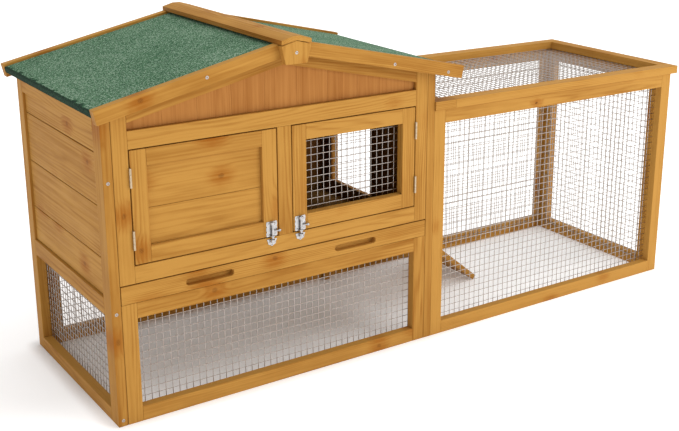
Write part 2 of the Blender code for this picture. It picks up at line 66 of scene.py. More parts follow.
DOOR_FACE = 0.0302
FRONT_BARGE, BACK_BARGE = -0.0304, DEPTH + 0.0276
BARGE, BARGE_DEPTH = 0.017, 0.0264
RIDGE_X, RIDGE_Z = WIDTH / 2 + 0.004, 0.6796
CAP_HALF = 0.031                        # half the ridge cap's width
SLOPE = 0.2239
PITCH = atan(SLOPE)
UNDER = 0.005 + 0.0025 + GAP + 0.009 + GAP   # from the roof's top line to the underside of its boards
INNER_PAINTED_SHADE = 0.9                            # painted shade: how much darker the unlit inner faces are painted
rng = random.Random(11)


# ---------------------------------------------------------------- node materials

class Nodes:
    """A small helper that adds nodes and links to one material."""

    def __init__(self, name):
        self.material = bpy.data.materials.new(name)
        self.material.use_nodes = True
        self.tree = self.material.node_tree
        self.shader = self.tree.nodes["Principled BSDF"]

    def node(self, kind, **settings):
        made = self.tree.nodes.new(kind)
        for key, value in settings.items():
            if key.startswith("in_"):
                made.inputs[key[3:].replace("_", " ")].default_value = value
            else:
                setattr(made, key, value)
        return made

    def link(self, source, target):
        self.tree.links.new(source, target)

    def math(self, operation, a, b=None, c=None, clamp=False):
        made = self.node("ShaderNodeMath", operation=operation, use_clamp=clamp)
        for socket, value in zip(made.inputs, (a, b, c)):
            if value is None:
                continue
            if isinstance(value, (int, float)):
                socket.default_value = value
            else:
                self.link(value, socket)
        return made.outputs[0]

    def vmath(self, operation, a, b=None):
        made = self.node("ShaderNodeVectorMath", operation=operation)
        for socket, value in zip(made.inputs, (a, b)):
            if value is None:
                continue
            if isinstance(value, tuple):
                socket.default_value = value
            else:
                self.link(value, socket)
        return made.outputs[0]

    def attribute(self, name, output="Fac"):
        return self.node("ShaderNodeAttribute", attribute_name=name).outputs[output]

    def parts(self, kind, value):
        """The three numbers of a colour or a place."""
        made = self.node("ShaderNodeSeparate" + kind)
        self.link(value, made.inputs[0])
        return made.outputs

    def cells(self, vector, scale):
        made = self.node("ShaderNodeTexVoronoi", in_Scale=scale)
        self.link(vector, made.inputs["Vector"])
        return made.outputs

    def noise(self, vector, scale, detail=2.0, roughness=0.5, color=False):
        made = self.node("ShaderNodeTexNoise", in_Scale=scale, in_Detail=detail, in_Roughness=roughness)
        self.link(vector, made.inputs["Vector"])
        return made.outputs[1 if color else 0]

    def smooth(self, value, low, high, out_low=0.0, out_high=1.0):
        made = self.node("ShaderNodeMapRange", interpolation_type="SMOOTHSTEP")
        self.link(value, made.inputs["Value"])
        numbers = {"From Min": low, "From Max": high, "To Min": out_low, "To Max": out_high}
        for name, number in numbers.items():
            made.inputs[name].default_value = number
        return made.outputs["Result"]

    def mix(self, factor, a, b, blend="MIX"):
        made = self.node("ShaderNodeMix", data_type="RGBA", blend_type=blend)
        for socket, value in ((made.inputs[0], factor), (made.inputs[6], a), (made.inputs[7], b)):
            if isinstance(value, (int, float)):
                socket.default_value = value
            elif isinstance(value, tuple):
                socket.default_value = (*value, 1)
            else:
                self.link(value, socket)
        return made.outputs[2]

    def bump(self, height, distance, strength):
        made = self.node("ShaderNodeBump", in_Distance=distance, in_Strength=strength)
        self.link(height, made.inputs["Height"])
        self.link(made.outputs[0], self.shader.inputs["Normal"])


def wood(name, light, dark, ring=0.0030, contrast=0.40, streak=1.35, knots=0.9, roughness=0.5,
         wander_by=0.022):
    """Sawn softwood. The 'grain' attribute holds metres along, across and through the board."""
    n = Nodes(name)
    grain = n.attribute("grain", "Vector")
    tone = n.attribute("tone")

    def streaked(along, across, detail, roughness=0.5):
        return n.noise(n.vmath("MULTIPLY", grain, (along, across, across)), 1.0, detail, roughness)

    def shifted(value, by, onto):
        """Adds by times the value, counted from its mean of a half."""
        return n.math("MULTIPLY_ADD", n.math("SUBTRACT", value, 0.5), by, onto)

    # knots: one branch per cell of a stretched lattice, running through the thickness
    cell = n.vmath("MULTIPLY", grain, (1 / 0.15, 1 / 0.085, 1 / 0.8))
    wobble = n.vmath("SCALE", n.noise(grain, 90.0, 2.0, 0.5, True))
    wobble.node.inputs["Scale"].default_value = 0.05
    lattice = n.cells(n.vmath("ADD", cell, wobble), 1.0)
    choice = n.parts("Color", lattice["Color"])
    present = n.math("GREATER_THAN", choice[0], 1 - knots)
    size = n.math("MULTIPLY_ADD", choice[1], 0.7, 0.6)
    apart = n.math("DIVIDE", lattice["Distance"], size)
    heart = n.math("MULTIPLY", n.smooth(apart, 0.075, 0.045), present)
    halo = n.math("MULTIPLY", n.smooth(apart, 0.30, 0.05), present)
    # and the board's own knot, whose place the 'knot' attribute gives in the same measure
    own = n.vmath("SUBTRACT", grain, n.attribute("knot", "Vector"))
    own = n.vmath("MULTIPLY", own, (1 / 0.11, 1 / 0.085, 0.0))
    own = n.vmath("LENGTH", n.vmath("ADD", own, n.vmath("SUBTRACT", wobble, (0.025, 0.025, 0.025))))
    own = own.node.outputs["Value"]
    heart = n.math("MAXIMUM", heart, n.math("MULTIPLY", n.smooth(own, 0.070, 0.03), 0.45))
    halo = n.math("MAXIMUM", halo, n.smooth(own, 0.36, 0.05, 0.0, 0.9))
    # growth rings: distance from a pith that wanders slowly along the board
    along, across, through = n.parts("XYZ", grain)
    radius = n.math("MULTIPLY_ADD", across, across, n.math("MULTIPLY", through, through))
    radius = n.math("MULTIPLY_ADD", along, 0.010, n.math("SQRT", radius))
    radius = n.math("MULTIPLY_ADD", streaked(2.2, 16.0, 2.0, 0.45), wander_by, radius)
    radius = n.math("MULTIPLY_ADD", halo, 0.004, radius)
    turns = n.math("MULTIPLY", radius, 2 * pi / ring)
    turns = n.math("MULTIPLY_ADD", streaked(0.4, 60.0, 1.0), 9.0, turns)
    late = n.math("MULTIPLY_ADD", n.math("SINE", turns), 0.5, 0.5)
    late = n.math("POWER", late, 1.9)
    late = n.math("MULTIPLY", late, n.smooth(streaked(1.6, 34.0, 1.0), 0.36, 0.64, 0.25, 1.0))
    # fibres and stain, with the 'tone' attribute, which holds the random stain and the painted light and
    # shade
    fibre = streaked(14.0, 900.0, 3.0, 0.6)
    streaks = streaked(3.0, 190.0, 3.0, 0.6)
    blotch = streaked(7.0, 26.0, 3.0, 0.55)
    amount = shifted(streaks, 0.85 * streak, n.math("MULTIPLY", late, contrast))
    amount = shifted(blotch, 1.05, shifted(fibre, 0.30 * streak, amount))
    amount = n.math("ADD", n.math("ADD", amount, 0.20), tone, clamp=True)
    colour = n.mix(amount, light, dark)
    warm = n.math("MULTIPLY", halo, n.smooth(streaks, 0.3, 0.7, 0.45, 0.95))
    colour = n.mix(warm, colour, (dark[0] * 1.15, dark[1] * 0.95, dark[2] * 0.6))
    rings_in_knot = n.math("MULTIPLY_ADD", n.math("SINE", n.math("MULTIPLY", apart, 260.0)), 0.25, 0.75)
    colour = n.mix(n.math("MULTIPLY", heart, rings_in_knot), colour, KNOT)
    # painted shade: a tone above 0.55, given to unlit inner faces and the backs of recesses, takes the
    # colour towards near black
    colour = n.mix(n.smooth(tone, 0.55, 0.9, 0.0, 0.45), colour, (0.035, 0.018, 0.012))
    n.link(colour, n.shader.inputs["Base Color"])
    n.link(shifted(streaks, 0.25, roughness), n.shader.inputs["Roughness"])
    height = n.math("MULTIPLY_ADD", fibre, 0.6, n.math("MULTIPLY", late, 0.4))
    n.bump(height, 0.00022, 0.55)
    n.shader.inputs["Specular IOR Level"].default_value = 0.05
    return n.material


def felt_material():
    n = Nodes("green_mineral_felt")
    place = n.node("ShaderNodeTexCoord").outputs["Object"]
    grit = n.parts("Color", n.cells(place, 720.0)["Color"])
    clump = n.noise(place, 330.0, 3.0, 0.65)
    patch = n.noise(place, 9.0, 4.0, 0.6)
    shade = n.math("MULTIPLY_ADD", grit[0], 0.42, n.math("MULTIPLY", clump, 1.15))
    shade = n.math("MULTIPLY_ADD", n.math("SUBTRACT", patch, 0.5), 0.25, shade)
    # the 'tone' attribute carries the painted shade at the eave
    shade = n.math("SUBTRACT", shade, n.attribute("tone"))
    ramp = n.node("ShaderNodeValToRGB")
    points = ((0.42, (0.008, 0.026, 0.014)), (0.64, (0.030, 0.096, 0.045)),
              (0.82, (0.074, 0.194, 0.092)), (1.00, (0.32, 0.42, 0.32)))
    ramp.color_ramp.elements.remove(ramp.color_ramp.elements[1])
    for index, (spot, value) in enumerate(points):
        elements = ramp.color_ramp.elements
        element = elements.new(spot) if index else elements[0]
        element.position = spot
        element.color = (*value, 1)
    n.link(shade, ramp.inputs[0])
    n.link(ramp.outputs[0], n.shader.inputs["Base Color"])
    n.shader.inputs["Roughness"].default_value = 0.92
    n.shader.inputs["Specular IOR Level"].default_value = 0.2
    height = n.math("MULTIPLY_ADD", clump, 0.7, n.math("MULTIPLY", grit[1], 0.5))
    n.bump(height, 0.0011, 0.9)
    return n.material


def metal(name, colour, roughness, mottle, scale, dent):
    n = Nodes(name)
    place = n.node("ShaderNodeTexCoord").outputs["Object"]
    cloud = n.noise(place, scale, 4.0, 0.6)
    facet = n.parts("Color", n.cells(place, scale * 1.3)["Color"])
    mixed = n.math("MULTIPLY_ADD", facet[0], 0.35, n.math("MULTIPLY", cloud, 0.65))
    dark = tuple(c * (1 - 3 * mottle) for c in colour)
    n.link(n.mix(mixed, dark, colour), n.shader.inputs["Base Color"])
    n.shader.inputs["Metallic"].default_value = 1.0
    n.link(n.math("MULTIPLY_ADD", cloud, 0.3, roughness - 0.15), n.shader.inputs["Roughness"])
    n.bump(cloud, dent, 0.4)
    return n.material


LIGHT, KNOT = (0.480, 0.240, 0.050), (0.09, 0.027, 0.005)
MATERIALS = {                           # by slot
    "pine": wood("stained_pine", LIGHT, (0.26, 0.092, 0.009)),
    "pine_board": wood("stained_pine_boards", LIGHT, (0.265, 0.096, 0.010), 0.0042, 0.34, 1.2),
    "gable_ply": wood("stained_gable_boarding", (0.43, 0.185, 0.048), (0.27, 0.092, 0.017), 0.0017,
                      0.25, 1.6, knots=0.0, roughness=0.6, wander_by=0.006),
    "tray_board": wood("stained_plywood", (0.26, 0.14, 0.04), (0.16, 0.07, 0.016), 0.011,
                       0.3, 0.8, knots=0.2, roughness=0.65),
    "felt": felt_material(),
    "wire": metal("galvanised_wire", (0.47, 0.415, 0.375), 0.42, 0.06, 400.0, 0.00005),
    "hardware": metal("bright_zinc", (0.60, 0.59, 0.59), 0.30, 0.18, 260.0, 0.00020),
}
HINGE = metal("plated_hinge_steel", (0.62, 0.49, 0.33), 0.50, 0.12, 200.0, 0.00012)


# ---------------------------------------------------------------- pieces of timber

def new_object(name, data):
    obj = bpy.data.objects.new(name, data)
    bpy.context.scene.collection.objects.link(obj)
    return obj


def skin(shape, one, two):
    """Joins two closed loops of corners by quads."""
    for i in range(len(one)):
        k = (i + 1) % len(one)
        shape.faces.new((one[i], one[k], two[k], two[i]))


def outward(shape):
    bmesh.ops.recalc_face_normals(shape, faces=shape.faces)
    return shape


def prism(points, facing, low, high):
    """A straight prism. facing front: points in X, Z and length along Y; top: points in X, Y and
    length along Z."""
    shape = bmesh.new()
    near, far = ([shape.verts.new((u, t, v) if facing == "front" else (u, v, t)) for u, v in points]
                 for t in (low, high))
    shape.faces.new(near)
    shape.faces.new(far[::-1])
    skin(shape, near, far)
    return outward(shape)


def block(x, y, z):
    return prism([(x[0], z[0]), (x[1], z[0]), (x[1], z[1]), (x[0], z[1])], "front", *y)


def ease(shape, size):
    """Rounds the sharp edges, apart from those whose faces meet at less than 0.3 radians."""
    edges = [e for e in shape.edges if len(e.link_faces) == 2 and e.calc_face_angle(0) > 0.3]
    bmesh.ops.bevel(shape, geom=edges, offset=size, segments=2, profile=0.6, affect="EDGES",
                    clamp_overlap=True)


class Piece:
    """One visible object, built up from shapes that each have their own grain direction."""

    def __init__(self, name, body, slot, nodes=(), shade=0.0):
        self.name, self.body, self.slot, self.nodes = name, body, slot, nodes
        self.shade, self.lit = shade, None
        self.points, self.faces, self.grain, self.tone, self.knot = [], [], [], [], []

    def add(self, shape, along=X, thick=Y, bevel=0.0009, tone=None, lit=None, knot=None):
        """tone: how much darker, as a number or by place. lit: adds to it by place;
        mostly painted light and shade, on the left posts' outer faces a lighter stain. knot: the place
        of the board's own knot."""
        along = Vector(along).normalized()
        across = Vector(thick).cross(along).normalized()
        through = along.cross(across)
        if bevel:
            ease(shape, bevel)
        # a board comes from its own place in a log: how far along, and how far from the pith
        start = (rng.uniform(0, 40), rng.uniform(-0.03, 0.03),
                 rng.choice((-1, 1)) * rng.uniform(0.018, 0.06))
        middle = sum((v.co for v in shape.verts), Vector()) / len(shape.verts)
        value = rng.uniform(-0.20, 0.20) if tone is None else tone
        lit = lit or self.lit
        if knot:
            away = Vector(knot) - middle
            centre = (away.dot(along) + start[0], away.dot(across) + start[1], 0.0)
        else:
            centre = (-99.0, -99.0, 0.0)
        self.knot += [centre] * len(shape.verts)
        base = len(self.points)
        shape.verts.index_update()
        for vert in shape.verts:
            self.points.append(vert.co + SHIFT)
            local = vert.co - middle
            self.grain.append([local.dot(way) + own
                               for way, own in zip((along, across, through), start)])
            own = value(vert.co) if callable(value) else value
            self.tone.append(own + self.shade + (lit(vert.co) if lit else 0.0))
        self.faces += [[base + v.index for v in face.verts] for face in shape.faces]
        shape.free()

    def finish(self):
        mesh = bpy.data.meshes.new(self.name)
        mesh.from_pydata(self.points, [], self.faces)
        for name, places in (("grain", self.grain), ("knot", self.knot)):
            made = mesh.attributes.new(name, "FLOAT_VECTOR", "POINT")
            made.data.foreach_set("vector", [number for place in places for number in place])
        mesh.attributes.new("tone", "FLOAT", "POINT").data.foreach_set("value", self.tone)
        mesh.materials.append(MATERIALS[self.slot])
        mesh.update()
        obj = new_object(self.name, mesh)
        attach(obj, self.body)
        if self.nodes:
            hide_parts(*self.nodes)


def node_box(node):
    """The corners of a CAD node's box."""
    return [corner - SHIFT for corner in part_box(node)]


def clip(points, axis, low, high):
    """The part of a convex outline between two values of one coordinate."""
    for limit, sign in ((low, 1), (high, -1)):
        kept = []
        for a, b in zip(points, points[1:] + points[:1]):
            da, db = sign * (a[axis] - limit), sign * (b[axis] - limit)
            if da >= 0:
                kept.append(a)
            if (da > 0 > db) or (da < 0 < db):
                t = da / (da - db)
                kept.append((a[0] + t * (b[0] - a[0]), a[1] + t * (b[1] - a[1])))
        points = kept
    return points


def roof_z(x, drop=0.0):
    return RIDGE_Z - abs(x - RIDGE_X) * SLOPE - drop / cos(PITCH)


def slope_point(side, along, drop):
    x = along * cos(PITCH) - drop * sin(PITCH)
    return RIDGE_X + side * x, RIDGE_Z - along * sin(PITCH) - drop * cos(PITCH)


def under_roof(x):
    return x, roof_z(x, UNDER) - GAP


def post(piece, x, y, z, **more):
    piece.add(block(x, y, z), Z, more.pop("thick", Y), **more)


def rail(piece, x, y, z, **more):
    piece.add(block(x, y, z), X, more.pop("thick", Y), **more)


def cross(piece, x, y, z, **more):
    piece.add(block(x, y, z), Y, more.pop("thick", X), **more)


def painted_top_light(height, by):
    """Painted light: a lighter colour on the face that looks up, where the light falls on it."""
    return lambda place: -by if place.z > height - 0.0002 else 0.0


def recess(place):
    """Painted shade: the gaps round the doors and the tray darken towards the back of the frame."""
    return 0.75 if place.y > STOCK / 2 else 0.0


def ring(piece, x, z, y, bars=(RAIL,) * 4, knots=(None,) * 4):
    """A frame of four members seen from the front. bars and knots: left, right, bottom, top."""
    left, right, bottom, top = bars
    post(piece, (x[0], x[0] + left), y, z, knot=knots[0])
    post(piece, (x[1] - right, x[1]), y, z, knot=knots[1])
    inner = (x[0] + left + HAIR, x[1] - right - HAIR)
    # painted light on the bottom rail's top face
    rail(piece, inner, y, (z[0], z[0] + bottom), lit=painted_top_light(z[0] + bottom, 0.55), knot=knots[2])
    rail(piece, inner, y, (z[1] - top, z[1]), knot=knots[3])


# ---------------------------------------------------------------- house

def side_panels():
    posts = (0, FRONT_POST), (DEPTH - BACK_POST, DEPTH)
    height = (0, SIDE_RAIL[1])
    left = Piece("left_side_frame", "house", "pine", ["left_panel_frame"])
    for y, knot in zip(posts, ((0.009, 0, 0.166), None)):
        # a lighter stain on the outer left faces of the left posts, against their random reddish tone
        post(left, (0, STOCK), y, height, knot=knot,
             lit=lambda place: -0.18 if place.x < 0.0005 else 0.0)
    inner = (FRONT_POST + HAIR, DEPTH - BACK_POST - HAIR)
    for z in ((0, 0.0265), MID_RAIL, SIDE_RAIL):
        # painted light on the rails' top faces
        cross(left, (0, STOCK), inner, z, lit=painted_top_light(z[1], 0.55))
    left.finish()
    planks = Piece("left_side_boards", "house", "pine_board", [f"left_plank_{n}" for n in range(1, 5)])
    y = (FRONT_POST + GAP, DEPTH - BACK_POST - GAP)
    levels = (MID_RAIL[1], 0.3135, 0.4092, 0.5058, SIDE_RAIL[0])
    knots = ((0.0045, 0.13, 0.275), None, (0.0045, 0.080, 0.480), (0.0045, 0.17, 0.530))
    for low, high, knot in zip(levels, levels[1:], knots):
        cross(planks, (0.0045, 0.0125), y, (low + 0.0006, high - 0.0006), bevel=0.0020, knot=knot)
    planks.finish()
    right = Piece("right_side_frame", "house", "pine", ["right_panel_frame"])
    x = (WIDTH - STOCK, WIDTH)
    for span in posts:
        post(right, x, span, height, thick=X)
    for z in ((MID_RAIL[0], DOORWAY_SILL), SIDE_RAIL):
        cross(right, x, inner, z)
    right.finish()
    wall = Piece("right_side_boards", "house", "pine_board", ["right_panel_boards"])
    x, doorway, doorway_top = (WIDTH - 0.017, WIDTH - 0.009), (0.209, 0.368), 0.445
    levels = (DOORWAY_SILL + GAP, 0.321, 0.383, doorway_top, 0.4955, SIDE_RAIL[0] - GAP)
    for low, high in zip(levels, levels[1:]):
        spans = (y,) if low >= doorway_top else ((y[0], doorway[0]), (doorway[1], y[1]))
        for span in spans:
            # painted shade on the boards' unlit inner faces, which look into the cabin
            cross(wall, x, span, (low + HAIR, high - HAIR), bevel=0.0012,
                  tone=lambda place: INNER_PAINTED_SHADE if place.x < x[0] + 0.004 else 0.05)
    wall.finish()


def front_frames():
    y = (0, STOCK)
    upper = Piece("front_upper_timber", "house", "pine", ["front_upper_frame"], -0.12)
    # painted shade in the gaps round the doors and the tray
    upper.lit = recess
    for a, b, knot in ((X0, E0, (0.034, 0, 0.397)), (E1, X1, None)):
        outline = [(a, SILL_RAIL[0]), (b, SILL_RAIL[0]), under_roof(b), under_roof(a)]
        upper.add(prism(outline, "front", *y), Z, Y, knot=knot)
    inner = (E0 + HAIR, E1 - HAIR)
    rail(upper, inner, y, SILL_RAIL)
    rail(upper, inner, y, TOP_RAIL)
    post(upper, MULLION, y, (SILL_RAIL[1] + HAIR, TOP_RAIL[0] - HAIR))
    upper.finish()
    lower = Piece("front_lower_timber", "house", "pine", ["front_lower_frame"], -0.06)
    ring(lower, (X0, X1), (0, LOWER_RAIL[1]), y, (RAIL, RAIL, RAIL, LOWER_RAIL[1] - LOWER_RAIL[0]),
         (None, None, (0.57, 0, 0.012), (0.20, 0, 0.222)))
    lower.finish()
    gable = Piece("front_gable_boards", "house", "gable_ply", ["front_gable_panel"])
    inner = (E0 + GAP, E1 - GAP)
    outline = [(inner[0], TOP_RAIL[1] + GAP), (inner[1], TOP_RAIL[1] + GAP), under_roof(inner[1]),
               under_roof(RIDGE_X), under_roof(inner[0])]
    count, joint = 9, 0.00008
    for index in range(count):
        low, high = (inner[0] + (inner[1] - inner[0]) * k / count for k in (index, index + 1))
        part = clip(outline, 0, low + joint, high - joint)
        gable.add(prism(part, "front", 0.0088, 0.0168), Z, Y, bevel=0.0004,
                  tone=rng.uniform(-0.10, 0.10))
    gable.finish()
    battens = Piece("gable_battens", "house", "pine", ["gable_batten_left", "gable_batten_right"])
    batten_depth = 0.0325
    for outer, middle, side in ((inner[0], RIDGE_X - GAP, -1), (inner[1], RIDGE_X + GAP, 1)):
        strip = [under_roof(outer), under_roof(middle)]
        strip += [(x, z - batten_depth) for x, z in reversed(strip)]
        # painted shade: the battens are darker where the barges overhang them
        battens.add(prism(strip, "front", 0, 0.0085), (1, 0, -side * SLOPE), bevel=0.0008, tone=0.22)
    battens.finish()


def back_frames():
    y = (DEPTH - STOCK, DEPTH)
    timber = Piece("back_timber", "house", "pine", ["back_frame"])
    for a, b in ((X0, E0), (E1, X1)):
        timber.add(prism([(a, 0), (b, 0), under_roof(b), under_roof(a)], "front", *y), Z, Y)
    inner = (E0 + HAIR, E1 - HAIR)
    for z in ((0, RAIL), MID_RAIL, TOP_RAIL):
        rail(timber, inner, y, z)
    timber.finish()
    boards = Piece("back_wall_boards", "house", "pine_board", ["back_boards"])
    levels = (0.232, 0.3187, 0.4053, 0.492, 0.5786, 0.7)
    outline = [(X0, levels[0]), (X1, levels[0]), under_roof(X1), under_roof(RIDGE_X), under_roof(X0)]
    for low, high in zip(levels, levels[1:]):
        part = clip(outline, 1, low + HAIR, high - HAIR)
        # painted shade on the boards' unlit inner faces
        boards.add(prism(part, "front", y[0] - GAP - 0.008, y[0] - GAP), bevel=0.0014,
                   tone=lambda place: INNER_PAINTED_SHADE if place.y < y[0] - 0.004 else 0.05)
    boards.finish()
    runners = Piece("tray_runners", "house", "pine", ["tray_runner_left", "tray_runner_right"])
    for node in runners.nodes:
        cross(runners, *zip(*node_box(node)), thick=Z)
    runners.finish()


def roof():
    between = (FRONT_BARGE + BARGE + GAP, BACK_BARGE - BARGE - GAP)
    barges = (("front", FRONT_BARGE, FRONT_BARGE + BARGE), ("back", BACK_BARGE - BARGE, BACK_BARGE))
    for side, word, overhang in ((-1, "left", 0.0206), (1, "right", 0.049)):
        length = (WIDTH / 2 + side * (WIDTH / 2 - RIDGE_X) + overhang) / cos(PITCH)
        along = Vector((cos(PITCH), 0, -side * sin(PITCH)))
        top, bottom = 0.0078, 0.0168
        deck = Piece(f"roof_deck_{word}", "house", "pine_board", [f"roof_board_{word}"])
        end = length - 0.0038
        start = 0.002
        cuts = [start] + [end * k / 4 for k in (1, 2, 3)] + [end]
        for a, b in zip(cuts, cuts[1:]):
            strip = [slope_point(side, a + HAIR, top), slope_point(side, b - HAIR, top),
                     slope_point(side, b - HAIR, bottom), slope_point(side, a + start + HAIR, bottom)]
            deck.add(prism(strip, "front", *between), Y, along.cross(Y), bevel=0.0008)
        deck.finish()
        for face, *y in barges:
            board = Piece(f"barge_{face}_{word}_timber", "house", "pine", [f"barge_board_{face}_{word}"])
            strip = [slope_point(side, GAP, 0), slope_point(side, length, 0),
                     slope_point(side, length, BARGE_DEPTH),
                     slope_point(side, BARGE_DEPTH * tan(PITCH) + GAP, BARGE_DEPTH)]
            knot = (0.062, 0, 0.603) if word == "left" else None
            # painted light: the barge's top face is lighter
            board.add(prism(strip, "front", *y), along, bevel=0.0013, knot=knot,
                      lit=lambda place: -0.28 if place.z > roof_z(place.x) - 0.0003 else 0.0)
            board.finish()
        felt_sheet(side, word, length, between)
    cap = Piece("ridge_cap_timber", "house", "pine", ["ridge_cap"])
    edge = roof_z(RIDGE_X + CAP_HALF) + GAP
    outline = [(-CAP_HALF, edge), (0, RIDGE_Z + GAP), (CAP_HALF, edge), (CAP_HALF, edge + 0.0085),
               (0.008, RIDGE_Z + 0.0083), (-0.008, RIDGE_Z + 0.0083), (-CAP_HALF, edge + 0.0085)]
    outline = [(RIDGE_X + x, z) for x, z in outline]
    # painted shade on the cap's left side face; the rest of the cap is stained lighter
    cap.add(prism(outline, "front", -0.0454, BACK_BARGE), Y, Z,
            tone=lambda place: 0.42 if place.x < RIDGE_X - CAP_HALF + 0.0002 else -0.12)
    cap.finish()
    shield = Piece("ridge_end_shield", "house", "pine", ["ridge_end_block"])
    outline = [(-0.0225, 0.637), (0.0225, 0.637), (CAP_HALF, 0.6712), (0, RIDGE_Z - GAP),
               (-CAP_HALF, 0.6712)]
    outline = [(RIDGE_X + x, z) for x, z in outline]
    shield.add(prism(outline, "front", -0.0444, FRONT_BARGE - GAP), Z, bevel=0.0012, tone=-0.12)
    shield.finish()


def felt_sheet(side, word, length, between):
    """The felt's section is swept from front to back, with slight waves and a ragged, granular eave."""
    sheet = Piece(f"roof_felt_{word}_sheet", "house", "felt", [f"roof_felt_{word}"])
    lip, top = length - 0.001, 0.005
    path = [(0.001 + lip * k / 46 * 0.985, top) for k in range(47)]
    path += [(lip - 0.0046, top), (lip - 0.0034, top), (lip - 0.0012, 0.0053), (lip - 0.0003, 0.0063),
             (lip, 0.0078), (lip, 0.0125), (lip, 0.0166)]
    under = [(lip - 0.0024, 0.0166), (lip - 0.0024, 0.0082), (lip - 0.0030, 0.0076), (0.004, 0.0076)]
    rows = 60
    shape = bmesh.new()
    strips = []
    for row in range(rows + 1):
        y = between[0] + (between[1] - between[0]) * row / rows
        line = []
        for along, drop in path:
            wave = noise.noise(Vector((along * 9, y * 9, side * 3.0))) * 0.0006
            grit = noise.noise(Vector((along * 130, y * 130, side * 7.0))) * 0.00025
            swell = 0.0
            if along > lip - 0.004:
                swell = noise.noise(Vector((drop * 260, y * 150, 5.0))) * 0.0005
                wave *= 0.3
            line.append((along + min(swell, 0.0003), max(drop - wave - grit, 0.0041)))
        section = [slope_point(side, *spot) for spot in line + under]
        strips.append([shape.verts.new((x, y, z)) for x, z in section])
    for one, two in zip(strips, strips[1:]):
        skin(shape, one, two)
    shape.faces.new(strips[0][::-1])
    shape.faces.new(strips[-1])

    def painted_eave_shade(place):
        """Painted shade: the felt darkens where it folds over the eave."""
        along = (abs(place.x - RIDGE_X) + top * sin(PITCH)) / cos(PITCH)
        reach = 0.0045 + 0.0015 * noise.noise(Vector((place.y * 60, 0, side)))
        return 0.45 if along > lip - reach else 0.0

    sheet.add(outward(shape), X, Z, bevel=0, tone=painted_eave_shade)
    sheet.finish()


# ---------------------------------------------------------------- doors, tray, ramp

def door(word, x):
    z = (0.3037, 0.5115)
    timber = Piece(f"{word}_timber", word, "pine", [f"{word}_frame"], -0.14)
    low_knot = (x[0] + 0.012, 0, 0.328) if word == "left_door" else None
    ring(timber, x, z, (0, STOCK), (DOOR_FACE,) * 4, (low_knot, None, None, None))
    timber.finish()
    if word == "left_door":
        panel = Piece("left_door_panel", word, "pine_board",
                      ["left_door_lower_board", "left_door_upper_board"], -0.10)
        inner = (x[0] + DOOR_FACE + GAP, x[1] - DOOR_FACE - GAP)
        levels = (z[0] + DOOR_FACE, 0.402, z[1] - DOOR_FACE)
        for low, high, knot in zip(levels, levels[1:], (None, (0.225, 0.008, 0.437))):
            rail(panel, inner, (0.008, 0.016), (low + GAP, high - GAP), bevel=0.0007, knot=knot)
        panel.finish()


def oblong(centre, length, height, steps=12):
    """An outline with half-round ends."""
    radius = height / 2
    points = []
    for side, start in ((1, -pi / 2), (-1, pi / 2)):
        middle = centre[0] + side * (length / 2 - radius)
        for step in range(steps + 1):
            angle = start + pi * step / steps
            points.append((middle + radius * cos(angle), centre[1] + radius * sin(angle)))
    return points


def as_object(name, shape):
    mesh = bpy.data.meshes.new(name)
    shape.to_mesh(mesh)
    shape.free()
    return new_object(name, mesh)


def tray():
    front = Piece("tray_front_board", "tray", "pine", ["tray_front"])
    low, high = node_box("tray_front")
    shape = block(*zip(low, high))
    ease(shape, 0.0009)
    holder = as_object("board", shape)
    tools = []
    for side in (-1, 1):
        middle = ((low.x + high.x) / 2 + side * 0.160, (low.z + high.z) / 2 - 0.001)
        slot = oblong(middle, 0.097, 0.013)
        cut = prism(slot, "front", -0.01, 0.0125)
        mouth = [cut.verts.new((u, -0.0002, v)) for u, v in oblong(middle, 0.0990, 0.0150)]
        throat = [cut.verts.new((u, 0.0010, v)) for u, v in slot]
        cut.faces.new(mouth)
        cut.faces.new(throat[::-1])
        skin(cut, mouth, throat)
        tool = as_object("cut", outward(cut))
        change = holder.modifiers.new("cut", "BOOLEAN")
        change.solver, change.object, change.use_self = "EXACT", tool, True
        tools.append(tool)
    bpy.context.view_layer.update()
    done = holder.evaluated_get(bpy.context.evaluated_depsgraph_get())
    result = bmesh.new()
    result.from_mesh(done.to_mesh())
    for obj in tools + [holder]:
        bpy.data.objects.remove(obj)
    front.add(result, bevel=0, tone=-0.12, knot=(0.328, 0, 0.258))
    front.finish()
    low, high = node_box("tray_pan")
    pan = Piece("tray_box", "tray", "tray_board", ["tray_pan"])
    wall, joint, bevel = 0.004, 0.0001, 0.0006
    x = (low.x, high.x)
    rail(pan, x, (low.y, high.y), (low.z, low.z + wall), thick=Z, bevel=bevel)
    z = (low.z + wall + joint, high.z)
    rail(pan, x, (low.y, low.y + wall), z, bevel=bevel)
    rail(pan, x, (high.y - wall, high.y), z, bevel=bevel)
    for span in ((low.x, low.x + wall), (high.x - wall, high.x)):
        cross(pan, span, (low.y + wall + joint, high.y - wall - joint), z, bevel=bevel)
    pan.finish()


